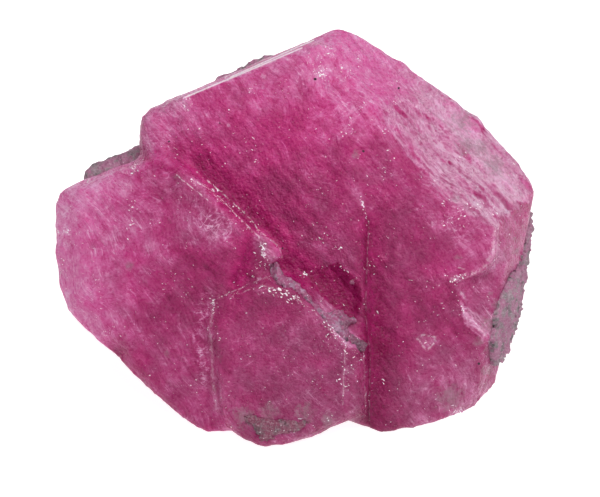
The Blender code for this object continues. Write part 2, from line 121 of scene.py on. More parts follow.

# How pale and how dull the turbid crystal is from place to place: (across, up), reach, paleness, dullness.
# Partly the crystal's own colour and partly painted light: the glowing left end is painted pale as lit,
# and the middle darker as shaded.
TONE_AND_LIGHT_DABS = (
    ((-19.4, 3.0), 3.0, 0.87, 0.0), ((-19.4, -1.6), 3.0, 0.82, 0.0), ((-18.0, -5.6), 2.6, 0.8, 0.0),
    ((-14.5, 0.6), 3.0, 0.62, 0.3), ((-14.4, -5.0), 3.0, 0.55, 0.3), ((-12.4, -9.6), 2.8, 0.48, 0.5),
    ((-10.3, 5.0), 1.6, 0.56, 0.6), ((-7.4, 0.9), 1.8, 0.54, 0.55), ((-7.8, -3.6), 2.4, 0.33, 0.5),
    ((-10.6, -6.0), 2.4, 0.36, 0.6), ((-9.6, -13.2), 2.4, 0.5, 0.55), ((-8.2, -15.9), 1.8, 0.56, 0.5),
    ((-10.9, 10.2), 2.2, 0.76, 0.45), ((-10.3, 7.6), 1.6, 0.4, 0.1), ((-6.4, 10.6), 2.4, 0.52, 0.2),
    ((-2.2, 13.4), 2.4, 0.66, 0.25), ((-1.4, 8.8), 2.4, 0.36, 0.0), ((-5.6, 7.2), 2.0, 0.38, 0.3),
    ((2.2, 5.0), 2.6, 0.43, 0.4), ((3.0, 1.2), 2.6, 0.4, 0.55), ((-1.4, 4.0), 1.8, 0.32, 0.4),
    ((4.4, 15.6), 2.6, 0.74, 0.0), ((5.0, 11.0), 1.8, 0.68, 0.1), ((2.6, 9.6), 2.0, 0.5, 0.1),
    ((8.8, 7.0), 2.4, 0.49, 0.35), ((7.4, 3.0), 2.2, 0.42, 0.5), ((9.0, -1.2), 2.8, 0.35, 0.7),
    ((12.4, 2.0), 2.6, 0.52, 0.5), ((12.6, -2.0), 2.4, 0.46, 0.4), ((15.6, -0.6), 1.8, 0.6, 0.6),
    ((10.3, -5.4), 2.2, 0.33, 0.6), ((12.6, -8.0), 2.4, 0.36, 0.6), ((16.8, -5.0), 1.6, 0.54, 0.7),
    ((8.0, -8.8), 2.0, 0.21, 0.45), ((8.0, -13.2), 2.2, 0.35, 0.95), ((13.4, -12.0), 2.6, 0.6, 0.75),
    ((12.6, -14.6), 2.0, 0.64, 0.85), ((-1.8, -5.8), 2.0, 0.3, 0.65), ((1.6, -9.0), 2.6, 0.48, 0.8),
    ((-3.8, -9.4), 2.4, 0.44, 0.6), ((2.6, -13.0), 2.4, 0.49, 0.9), ((-3.0, -13.0), 2.4, 0.44, 0.8),
)
# Where painted glints, white highlights, crowd, and the surface is a little rougher and paler: (across, up),
# radius.
PAINTED_GLINT_SPOTS = (
    ((-9.5, 11.9), 1.1), ((3.2, 16.3), 0.8), ((4.2, 15.0), 0.8), ((6.3, 13.5), 0.5), ((1.3, 11.5), 0.6),
    ((-3.9, 13.2), 0.6), ((-8.3, 9.7), 0.5), ((-14.0, 6.2), 0.9), ((-11.0, 4.9), 0.4), ((-1.7, 4.2), 0.5),
    ((3.9, 1.4), 0.4), ((3.7, -0.6), 0.7), ((-14.2, 1.5), 0.6), ((5.7, 11.2), 0.8), ((15.8, 3.0), 1.2),
    ((2.3, 14.4), 1.2), ((14.0, -15.0), 1.6), ((17.0, 2.4), 1.2), ((13.9, -3.4), 0.6), ((-19.9, 0.8), 0.8),
    ((-2.5, -0.4), 0.4), ((5.0, -3.8), 0.7), ((8.9, 12.0), 0.7), ((11.6, -8.9), 0.8), ((-18.0, 5.2), 0.7),
)
# Grey and brownish stains in the crystals: (across, up), radius.
STAINS = (
    ((13.4, -13.6), 2.4), ((-14.3, -2.2), 0.8), ((13.8, 3.6), 0.7), ((14.1, -1.5), 0.6), ((-11.0, -9.8), 0.6),
    ((14.6, 10.4), 2.2), ((14.9, 8.2), 2.0), ((17.3, 6.4), 2.0), ((16.2, 8.0), 1.6), ((-10.2, 5.5), 0.5),
    ((5.2, 7.4), 0.8), ((19.2, 0.0), 0.6), ((16.9, -4.6), 0.5), ((17.0, -7.4), 1.9), ((17.3, -9.4), 1.9),
    ((18.6, -4.0), 0.9), ((19.3, -1.0), 0.8), ((16.6, -11.4), 1.0), ((-4.4, -15.2), 2.0),
    ((-2.2, -14.8), 1.7), ((0.8, -14.9), 1.8), ((2.8, -15.4), 1.3), ((15.8, -8.8), 0.9), ((17.4, -5.6), 0.9),
)
# Pale flakes: (across, up), radius.
FLAKES = (
    ((-5.8, 9.9), 0.42), ((-2.8, 14.2), 0.6), ((1.2, 13.9), 0.6), ((-3.1, -3.3), 0.5), ((4.9, -3.6), 0.6),
    ((14.2, 5.6), 0.5), ((13.0, 8.6), 0.5), ((11.6, 10.8), 0.5), ((16.0, 5.0), 0.5),
)
# Black specks: (across, up), radius.
SPECKS = (
    ((9.0, 13.2), 0.13), ((5.9, 7.65), 0.13), ((18.3, -4.4), 0.13), ((18.4, -5.6), 0.2), ((18.3, -7.2), 0.15),
    ((15.9, -10.7), 0.14), ((-10.9, 8.5), 0.1), ((-6.5, 10.1), 0.08), ((1.75, 13.9), 0.16),
    ((-1.1, -0.7), 0.1),
)
# Feathery cracks under the surface: (across, up), radius, height, strength.
FEATHERY = (
    ((-6.8, 1.4), 3.2, 2.8, 1.0), ((14.0, 1.6), 3.0, 3.0, 0.5), ((4.4, 10.6), 2.2, 2.2, 0.5),
    ((-1.0, -10.0), 6.5, 7.5, 0.35),
)
# Where the crystals look mottled more than streaky: (across, up), radius, height, strength.
MOTTLED = (((-1.0, -10.0), 9.0, 7.5, 1.0), ((9.0, -8.0), 5.0, 10.0, 0.6), ((-17.0, -2.0), 8.0, 10.0, 0.5))
LUMPY_CORNER = (-10.6, 9.6, 3.2)  # across, up, radius
# The seam rock's dark end, and the hollow in it: across, up, radius.
SEAM_END = (5.7, -8.8, 1.7)
SEAM_HOLLOW = (4.5, -7.2, 0.7)

# Worn edges, rims and ribs, a little rougher and paler, where painted glints crowd: the line, its half width,
# how worn it is.
WORN_AND_GLINTING = (
    (CREST, 0.3, 0.6), (CREST_MIDDLE, 0.4, 0.6), (KNOB, 0.3, 0.3), (SMALL_BEVEL[:4], 0.5, 0.5),
    (SMALL_BEVEL[3:], 0.4, 0.4), (BEVEL_GLINTS, 0.8, 0.65), (SMALL_EDGE, 0.5, 0.5), (SMALL_TOP, 0.5, 0.4),
    (SMALL_RIGHT, 0.4, 0.4), (LOBE_EDGE, 0.4, 0.4), (RECESS_RIDGE, 0.7, 0.4), (HALF_MOON, 0.3, 0.6),
    (BRIGHT_RIDGE, 0.9, 0.3), (SEAM_GLINTS, 0.4, 1.0), (FACET_EDGE, 0.35, 0.8), (TOP_EDGE[:2], 0.4, 0.4),
)
# Sharp edges that stand up a little: the line, its half width, its height.
SHARP = (
    (TOP_EDGE, 0.4, 0.06), (LOBE_EDGE, 0.5, 0.1), (SMALL_BEVEL, 0.4, 0.1), (SMALL_EDGE, 0.35, 0.1),
    (CREST, 0.3, 0.12), (CREST_INNER, 0.3, 0.1), (CREST_MIDDLE, 0.25, 0.1),
)
# Fine pale lines, partly worn edges and partly highlights painted along edges: the line, its width, its
# strength.
PALE_AND_HIGHLIGHT_LINES = (
    (CREST, 0.08, 0.45), (CREST_INNER, 0.07, 0.5), (CREST_MIDDLE, 0.08, 0.4), (KNOB, 0.12, 0.25),
    (SMALL_TOP, 0.08, 0.25), (SMALL_BEVEL, 0.08, 0.2), (SMALL_EDGE, 0.2, 0.15), (SMALL_RIGHT, 0.08, 0.1),
    (LOBE_EDGE, 0.3, 0.22), (LOBE_INNER, 0.1, 0.25), (HALF_MOON, 0.12, 0.3), (SEAM, 0.06, 0.12),
)
# The crystals' surface all over: the size of its lumps, and their height.
LUMPS = ((2.2, 0.06), (0.8, 0.04))
# Growth ridges: width, length, height.
RIDGES = ((0.55, 7.0, 0.05), (0.3, 4.0, 0.03))
# Growth ledges on the bright face: spacing, depth, and the size of the waves in them.
LEDGES = ((2.3, 0.12, 6.0), (0.9, 0.05, 3.0))
# Small breaks: spacing, depth, and radius as a share of the spacing.
CHIPS = ((2.6, 0.1, 0.3), (1.3, 0.07, 0.26))
# How streaks wander: the size of the waves, and how far they move a streak.
BENDS = ((8.0, 1.8), (2.4, 0.3))
# Rings round a blow, as on broken glass.
BLOW = (11.6, -6.8)
BLOW_RADIUS = 2.4
RING_SPACING = 0.6
RING_DEPTH = 0.03

# How pale single forms are, on the dabs' scale. The lit face and the glossy top are painted pale as
# highlight and reflection, and the crest shade, groove and crease are painted dark as shade.
HIGHLIGHT_TONE = 0.76
TOP_REFLECTION_TONE = 0.82
RECESS_TONE = 0.7
KNOB_TONE = 0.68
CREST_SHADE_TONE = 0.2
GROOVE_SHADE_TONE = 0.16
CREASE_SHADE_TONE = 0.14
FACET_TONE = 0.09
FAINT = 1e-6  # each dab's share far away, which keeps the blend defined everywhere

# The studio: the floor, the sky, and the lights' names, places and sizes in metres, and power in watts.
FLOOR_GLOW = 0.92
FLOOR_HALF = 2.0
WORLD_STRENGTH = 0.16
LIGHTS_AIM = (0.0, 0.0, 0.01)
LIGHTS = (
    ("overhead", (0.06, -0.08, 0.42), 0.3, 1.45),
    ("right_front", (0.3, -0.1, 0.3), 0.12, 0.3),
    ("left_front", (-0.25, -0.25, 0.25), 0.12, 0.12),
)


def resting():
    """The movement from the shaping frame to how the cluster rests, in metres."""
    return Matrix.Translation(ORIGIN) @ Matrix.Rotation(-LEAN, 4, "X")


# Masks and noise over many points at once

def smooth(values, low, high):
    """0 below low, 1 above high, and a smooth rise between."""
    t = np.clip((values - low) / (high - low), 0.0, 1.0)
    return t * t * (3.0 - 2.0 * t)


def rough(points, size, octaves):
    """Smooth fractal noise of about -1 to 1, with lumps of this size in millimetres.

    Where two noises mustn't look alike, one of them is taken at points that are moved by a fixed amount.
    """
    return np.array([noise.fractal(p, 1.0, 2.0, octaves) for p in (points / size).tolist()])


def toward(values, share, target):
    """The values, moved to the target where share is 1 and part of the way where it is less."""
    return values + share * (target - values)


def cells(points, size):
    """For each point, the distance to the nearest cell's middle, in cell sizes."""
    return np.array([noise.voronoi(p)[0][0] for p in (points / size).tolist()])


class Skin:
    """A piece's surface, as arrays in the shaping frame: points in millimetres and normals."""

    def __init__(self, obj):
        self.mesh = obj.data
        count = len(self.mesh.vertices)
        flat = np.empty(count * 3)
        self.mesh.vertices.foreach_get("co", flat)
        back = np.array(resting().inverted())
        shaped = flat.reshape(-1, 3) @ back[:3, :3].T + back[:3, 3]
        self.points = shaped / MM
        self.mesh.vertices.foreach_get("normal", flat)
        self.normals = flat.reshape(-1, 3) @ back[:3, :3].T
        self.across, self.out, self.up = self.points[:, 0], -self.points[:, 1], self.points[:, 2]
        self.facing_out = -self.normals[:, 1]
        self.facing_up = self.normals[:, 2]
        self.facing_right = self.normals[:, 0]

    def place(self, points):
        """Puts the mesh's vertices at these points of the shaping frame."""
        rest = np.array(resting())
        world = (points * MM) @ rest[:3, :3].T + rest[:3, 3]
        self.mesh.vertices.foreach_set("co", world.ravel())
        self.mesh.update()

    def swell(self, relief):
        """Moves each point along its normal by its relief, in millimetres."""
        self.place(self.points + self.normals * relief[:, None])

    def distance(self, line):
        """How far each point is from a line across the front, in millimetres."""
        here = np.stack((self.across, self.up), axis=1)
        nearest = np.full(len(here), np.inf)
        for start, end in zip(line, line[1:]):
            a, run = np.array(start), np.subtract(end, start)
            t = np.clip((here - a) @ run / (run @ run), 0.0, 1.0)
            nearest = np.minimum(nearest, np.linalg.norm(here - a - t[:, None] * run, axis=1))
        return nearest

    def near(self, line, half_width):
        """1 on a line across the front, falling to 0 at half_width from it."""
        return (1.0 - smooth(self.distance(line), 0.0, half_width)) * smooth(self.out, *LINE_FADE)

    def spot(self, across, up, radius, height=None):
        """1 at a place on the front, falling to 0 at radius to the sides and at height above and below."""
        level = np.hypot((self.across - across) / radius, (self.up - up) / (height or radius))
        return (1.0 - smooth(level, 0.0, 1.0)) * smooth(self.out, *SPOT_FADE)

    def spots(self, places):
        """1 in the middle of each of these places, (across, up), radius, and 0 outside them."""
        most = np.zeros(len(self.across))
        for (across, up), radius in places:
            most = np.maximum(most, self.spot(across, up, radius))
        return most

    def blotches(self, places):
        """The sum of these spots, (across, up), radius, height, strength."""
        total = 0.0
        for (across, up), radius, height, strength in places:
            total += strength * self.spot(across, up, radius, height)
        return total

    def within(self, outline):
        """1 inside an outline on the front, and 0 outside it."""
        crossed = np.zeros(len(self.across), bool)
        for (a0, u0), (a1, u1) in zip(outline, outline[1:] + outline[:1]):
            if u0 != u1:
                level = (u0 > self.up) != (u1 > self.up)
                crossed ^= level & (self.across < a0 + (a1 - a0) * (self.up - u0) / (u1 - u0))
        return crossed * smooth(self.out, *LINE_FADE)

    def streaks(self, width, length):
        """Noise drawn out along the growth ridges, into streaks of this width and length in millimetres."""
        along = self.across * math.cos(STRIAE_SLOPE) + self.up * math.sin(STRIAE_SLOPE)
        side = self.up * math.cos(STRIAE_SLOPE) - self.across * math.sin(STRIAE_SLOPE)
        spots = np.stack((side / width, along / length, self.out / (4.0 * width)), axis=1)
        return np.array([noise.noise(p) for p in spots.tolist()])

    def keep(self, name, values):
        """Stores a value for each vertex, for the material to read."""
        attribute = self.mesh.attributes.new(name, "FLOAT", "POINT")
        attribute.data.foreach_set("value", np.clip(values, 0.0, 1.0).astype(np.float32))

    def keep_places(self, name, places):
        """Stores a place for each vertex, for the material to read."""
        attribute = self.mesh.attributes.new(name, "FLOAT_VECTOR", "POINT")
        attribute.data.foreach_set("vector", places.astype(np.float32).ravel())


# Meshes

def settle_modifiers(obj):
    """Replaces the object's mesh by what its modifiers make of it."""
    bpy.context.view_layer.update()
    graph = bpy.context.evaluated_depsgraph_get()
    mesh = bpy.data.meshes.new_from_object(obj.evaluated_get(graph), depsgraph=graph)
    obj.modifiers.clear()
    obj.data = mesh


def skin_of(node, name, grain):
    """A new object with the CAD node's shape, made of small squares of this size."""
    made = bpy.data.objects.new(name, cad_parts[node].data.copy())
    bpy.context.scene.collection.objects.link(made)
    remesh = made.modifiers.new("Skin", "REMESH")
    remesh.mode = "VOXEL"
    remesh.voxel_size = grain * MM
    settle_modifiers(made)
    made.data.materials.clear()
    return made


def refine_front(obj):
    """Splits the faces that can be seen from the front in four."""
    outward = resting().to_3x3() @ Vector((0.0, -1.0, 0.0))
    bm = bmesh.new()
    bm.from_mesh(obj.data)
    bm.normal_update()
    edges = {edge for face in bm.faces if face.normal.dot(outward) > FINE_FACING for edge in face.edges}
    bmesh.ops.subdivide_edges(bm, edges=list(edges), cuts=1, use_grid_fill=True, smooth=0.0)
    bmesh.ops.triangulate(bm, faces=bm.faces)
    bm.to_mesh(obj.data)
    bm.free()


def drop_crumbs(obj):
    """Keeps the mesh's largest connected part, without the crumbs that the remesh leaves at thin corners."""
    bm = bmesh.new()
    bm.from_mesh(obj.data)
    left = set(bm.verts)
    parts = []
    while left:
        waiting = [left.pop()]
        part = set(waiting)
        while waiting:
            vert = waiting.pop()
            joined = {edge.other_vert(vert) for edge in vert.link_edges} & left
            left -= joined
            part |= joined
            waiting.extend(joined)
        parts.append(part)
    largest = max(parts, key=len)
    crumbs = [vert for vert in bm.verts if vert not in largest]
    bmesh.ops.delete(bm, geom=crumbs, context="VERTS")
    bm.to_mesh(obj.data)
    bm.free()


def soften(obj, shares):
    """Smooths the mesh where each vertex's share is above 0."""
    group = obj.vertex_groups.new(name="softened")
    for index in np.flatnonzero(shares > 0.0).tolist():
        group.add([index], float(shares[index]), "REPLACE")
    smoothing = obj.modifiers.new("Softened", "SMOOTH")
    smoothing.iterations = SOFTENING
    smoothing.vertex_group = group.name
    settle_modifiers(obj)


def shade_smooth(obj):
    """Shades the mesh as one smooth surface."""
    obj.data.polygons.foreach_set("use_smooth", [True] * len(obj.data.polygons))
    obj.data.update()


# The crystals

def lit_face(skin):
    """1 on the upper right face, which is turned to the right and up towards the light, and 0 elsewhere."""
    turned = 0.55 * skin.facing_right + 0.55 * skin.facing_up + 0.35 * skin.facing_out
    return smooth(turned, 0.7, 0.84) * smooth(skin.out, -8.0, -6.5) * smooth(skin.across, 1.5, 3.0)


def top_face(skin):
    """1 on the glossy top face of the upper left crystal, painted pale as a reflection, and 0 elsewhere."""
    high = smooth(skin.facing_up, 0.55, 0.75) * smooth(skin.up, 11.0, 12.0)
    return high * smooth(-skin.across, -4.5, -3.0)


def ledges(skin):
    """Thin growth ledges: a sawtooth across the bright face, each tooth a slow rise and a sharp drop."""
    side = skin.up * math.cos(LEDGE_SLOPE) - skin.across * math.sin(LEDGE_SLOPE)
    height = 0.0
    for spacing, depth, size in LEDGES:
        phase = (side + 0.5 * rough(skin.points, size, 2)) / spacing
        height += depth * (phase - np.floor(phase) - 0.5)
    return height


def rings(skin):
    """Rings round the blow, which die away towards its radius."""
    distance = np.hypot(skin.across - BLOW[0], skin.up - BLOW[1])
    waves = RING_DEPTH * np.cos(2.0 * math.pi * distance / RING_SPACING)
    return waves * (1.0 - smooth(distance, 0.6 * BLOW_RADIUS, BLOW_RADIUS))


def chips(skin):
    """Small breaks scattered all over, each a shallow cup. Each size has its own places."""
    depth = 0.0
    for spacing, cup, radius in CHIPS:
        nearest = cells(skin.points + spacing * 7.0, spacing)
        depth += cup * (1.0 - smooth(nearest, 0.12, radius))
    return depth


def sharp_edges(skin):
    """Edges that stand up like tents, in millimetres."""
    height = 0.0
    for line, half_width, most in SHARP:
        height += most * np.clip(1.0 - skin.distance(line) / half_width, 0.0, 1.0)
    return height * smooth(skin.out, *LINE_FADE)


def wear_and_glints(skin):
    """How worn it is and where painted glints crowd, 0 to 1: edges, rims and ribs that stand out."""
    worn = sum(share * skin.near(line, half_width) for line, half_width, share in WORN_AND_GLINTING)
    return np.clip(worn + 0.9 * skin.spots(PAINTED_GLINT_SPOTS), 0.0, 1.0)


def feathers(skin):
    """Where pale feathery cracks lie under the surface."""
    left_of_small = tuple((across - 0.8, up + 0.4) for across, up in SMALL_EDGE[:4])
    beside_edges = skin.near(left_of_small, 1.1) + 0.6 * skin.near(RECESS_RIDGE, 0.9)
    return beside_edges + skin.blotches(FEATHERY)


def crystal_relief(skin):
    """How far the surface stands out from the solid, in millimetres."""
    front = smooth(skin.facing_out, 0.0, 0.35)
    relief = sum(height * rough(skin.points, size, 3) for size, height in LUMPS)
    relief += 0.25 * skin.spot(*LUMPY_CORNER) * rough(skin.points, 1.6, 2)
    relief += front * sum(height * skin.streaks(width, length) for width, length, height in RIDGES)
    relief += lit_face(skin) * ledges(skin)
    relief -= front * chips(skin)
    relief += wear_and_glints(skin) * 0.1 * rough(skin.points, 0.5, 3)
    relief += rings(skin)
    relief += sharp_edges(skin)
    relief += 0.22 * skin.near(KNOB_SPINE, 1.2) + 0.1 * skin.near(RECESS_RIDGE, 0.8)
    relief -= 0.12 * skin.within(HALF_MOON)
    relief -= 0.06 * skin.near(SEAM, 0.25) + 0.12 * skin.near(CREASE, 0.4)
    return relief


def painted(skin, index):
    """The dabs' values, blended over the front: each dab counts most near its own place."""
    total = np.zeros(len(skin.across))
    weights = np.zeros(len(skin.across))
    for (across, up), reach, *values in TONE_AND_LIGHT_DABS:
        share = np.exp(-((skin.across - across) ** 2 + (skin.up - up) ** 2) / reach ** 2) + FAINT
        total += share * values[index]
        weights += share
    return total / weights


def bent_places(skin):
    """The skin's points moved about smoothly, across and up, so that streaks drawn on them wander."""
    moved = skin.points.copy()
    for size, most in BENDS:
        for axis in (0, 2):
            moved[:, axis] += most * rough(skin.points + 20.0 * (axis + 1), size, 2)
    return moved


def brushed(skin):
    """How streaky the crystal looks, from 0 to 1."""
    mottled = np.clip(1.6 * skin.blotches(MOTTLED), 0.0, 1.0)
    return 1.0 - 0.75 * mottled - 0.25 * lit_face(skin)


def knob(skin):
    """How much of the knob's own paleness shows, from 0 to 1."""
    return 0.9 * np.minimum(1.0, 1.6 * skin.near(KNOB_SPINE, 1.2))


def crystal_tone(skin):
    """How pale the crystal is, from deep magenta at 0 to whitish pink at 1, with painted light and shade."""
    tone = painted(skin, 0)
    tone += 0.1 * rough(skin.points, 3.0, 2) + 0.1 * rough(skin.points + 50.0, 1.2, 3)
    tone += 0.12 * brushed(skin) * skin.streaks(0.6, 5.0)
    # Painted highlight: the face turned up to the right, and its rim, are painted paler, as the light falls
    # on them.
    bright = np.maximum(lit_face(skin), skin.within(LIT_FACE_RIM))
    lit_face_tone = HIGHLIGHT_TONE + 0.13 * smooth(skin.across, 6.0, 14.0) + 0.1 * skin.streaks(0.4, 6.0)
    tone = toward(tone, bright, lit_face_tone)
    # Painted reflection: the glossy top face is painted pale.
    tone = toward(tone, top_face(skin), TOP_REFLECTION_TONE)
    tone += 0.1 * wear_and_glints(skin) + 0.12 * skin.within(HALF_MOON)
    tone = toward(tone, skin.within(RECESS_WEDGE), RECESS_TONE + 0.2 * skin.streaks(0.5, 2.0))
    tone = toward(tone, skin.within(DARK_FACET), FACET_TONE)
    # Painted shade: the groove, the crest's shade and the crease are painted deep magenta, partly the
    # crystal's own deeper colour there.
    tone = toward(tone, np.minimum(1.0, 1.6 * skin.near(GROOVE, 1.4)), GROOVE_SHADE_TONE)
    crest_shade = 0.8 * skin.near(CREST_SHADE, 0.6) * (CREST_SHADE_TONE - tone)
    crease_shade = 0.8 * skin.near(CREASE, 0.8) * (CREASE_SHADE_TONE - tone)
    tone = toward(tone + crest_shade + crease_shade, knob(skin), KNOB_TONE)
    # Painted shade: darker along the seam's step and in the band beside it.
    return tone - 0.2 * skin.near(SEAM[1:], 0.5) - 0.2 * skin.near(SEAM_SHADE, 2.0)


def crystal_dullness(skin):
    """How dull the crystal is, from vivid at 0 to greyish at 1."""
    dull = painted(skin, 1) + 0.5 * lit_face(skin) * smooth(skin.across, 5.0, 12.0)
    dull += 0.3 * rough(skin.points + 31.0, 1.8, 3)
    # Painted shade: the groove, the crease and the band beside the seam are painted vivid.
    dull -= skin.near(GROOVE, 2.0) + 0.7 * skin.near(CREASE, 1.2) + 0.5 * skin.near(SEAM_SHADE, 1.6)
    return dull + 0.9 * skin.near(KNOB_SPINE, 1.4) - 0.8 * skin.within(DARK_FACET)


def grow_crystals():
    """The crystals' skin, with its relief and the values that its material reads."""
    crystals = skin_of("sapphire_crystals", "sapphire_crystals_skin", CRYSTAL_GRAIN)
    refine_front(crystals)
    soften(crystals, Skin(crystals).near(GROOVE_FOOT, 1.0))
    skin = Skin(crystals)
    skin.swell(crystal_relief(skin))
    skin = Skin(crystals)  # the surface as it now is
    skin.keep_places("bent", bent_places(skin))
    skin.keep("brushed", brushed(skin))
    skin.keep("tone", crystal_tone(skin))
    skin.keep("dull", crystal_dullness(skin))
    skin.keep("wear_and_glints", wear_and_glints(skin))
    skin.keep("feather", feathers(skin))
    skin.keep("front", smooth(skin.facing_out, 0.02, 0.15))
    skin.keep("stain", skin.spots(STAINS))
    skin.keep("flake", skin.spots(FLAKES))
    shade_smooth(crystals)
    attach(crystals, "root")
    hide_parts("sapphire_crystals")
    return crystals


# The rock

ROCK_SINK = 0.5  # how far the rock's inner side reaches into the crystals, in millimetres
ROCK_REACH = 0.9  # how near the inner side is to the crystals, in millimetres
ROCK_FACING = 0.3  # the inner side's normals run along the crystals' own by less than this

# Each kind of rock: its pale, dark and pink screen colours, and the width of its patches in millimetres.
ROCK_LOOKS = {
    "rock_look": ((164, 136, 148), (104, 90, 96), (174, 102, 140), 0.9),
    "crust_look": ((186, 138, 170), (116, 72, 98), (160, 60, 112), 0.5),
    "foot_look": ((128, 86, 100), (88, 52, 66), (132, 50, 84), 0.7),
}
# Each rock: its node, grain, height of its lumps, how far it is lowered, how flat it is pressed, its look.
ROCKS = (
    ("matrix_back", LARGE_ROCK_GRAIN, 0.14, 0.0, 1.0, "rock_look"),
    ("matrix_flank", SMALL_ROCK_GRAIN, 0.25, 0.3, 0.85, "rock_look"),
    ("matrix_seam", SMALL_ROCK_GRAIN, 0.2, 0.42, 0.7, "crust_look"),
    ("matrix_foot", SMALL_ROCK_GRAIN, 0.15, 0.42, 0.6, "foot_look"),
)


def bed_in(obj, crystals, lowered, flattened):
    """Pushes the rock's inner side into the crystals, and brings its outer side down onto them as a crust.

    The outer side comes down by lowered millimetres, and what is left of its height is scaled by flattened.
    """
    tree = BVHTree.FromObject(crystals, bpy.context.evaluated_depsgraph_get())
    places = [(vert.co.copy(), vert.normal.copy()) for vert in obj.data.vertices]
    for vert, (place, normal) in zip(obj.data.vertices, places):
        spot, outward, _, distance = tree.find_nearest(place)
        if distance < ROCK_REACH * MM and normal.dot(outward) < ROCK_FACING:
            vert.co = spot - outward * ROCK_SINK * MM
        elif (place - spot).dot(outward) > 0.0:
            height = (distance - lowered * MM) * flattened
            vert.co = spot + (place - spot).normalized() * height
    obj.data.update()


def rock_relief(skin, lumps):
    """Lumps and sharper grains, in millimetres."""
    grains = 1.2 * np.abs(rough(skin.points + 9.0, 0.4, 2))
    return lumps * (rough(skin.points, 0.9, 4) + grains - 0.3)


def grow_rock(node, grain, lumps, lowered, flattened):
    """The skin of one piece of rock, bedded into the crystals."""
    rock = skin_of(node, node + "_skin", grain)
    drop_crumbs(rock)
    bed_in(rock, bpy.data.objects["sapphire_crystals_skin"], lowered, flattened)
    skin = Skin(rock)
    skin.keep("shade", skin.spot(*SEAM_END) + 0.7 * skin.spot(*SEAM_HOLLOW))
    skin.swell(rock_relief(skin, lumps))
    shade_smooth(rock)
    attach(rock, "root")
    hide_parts(node)
    return rock


# Materials

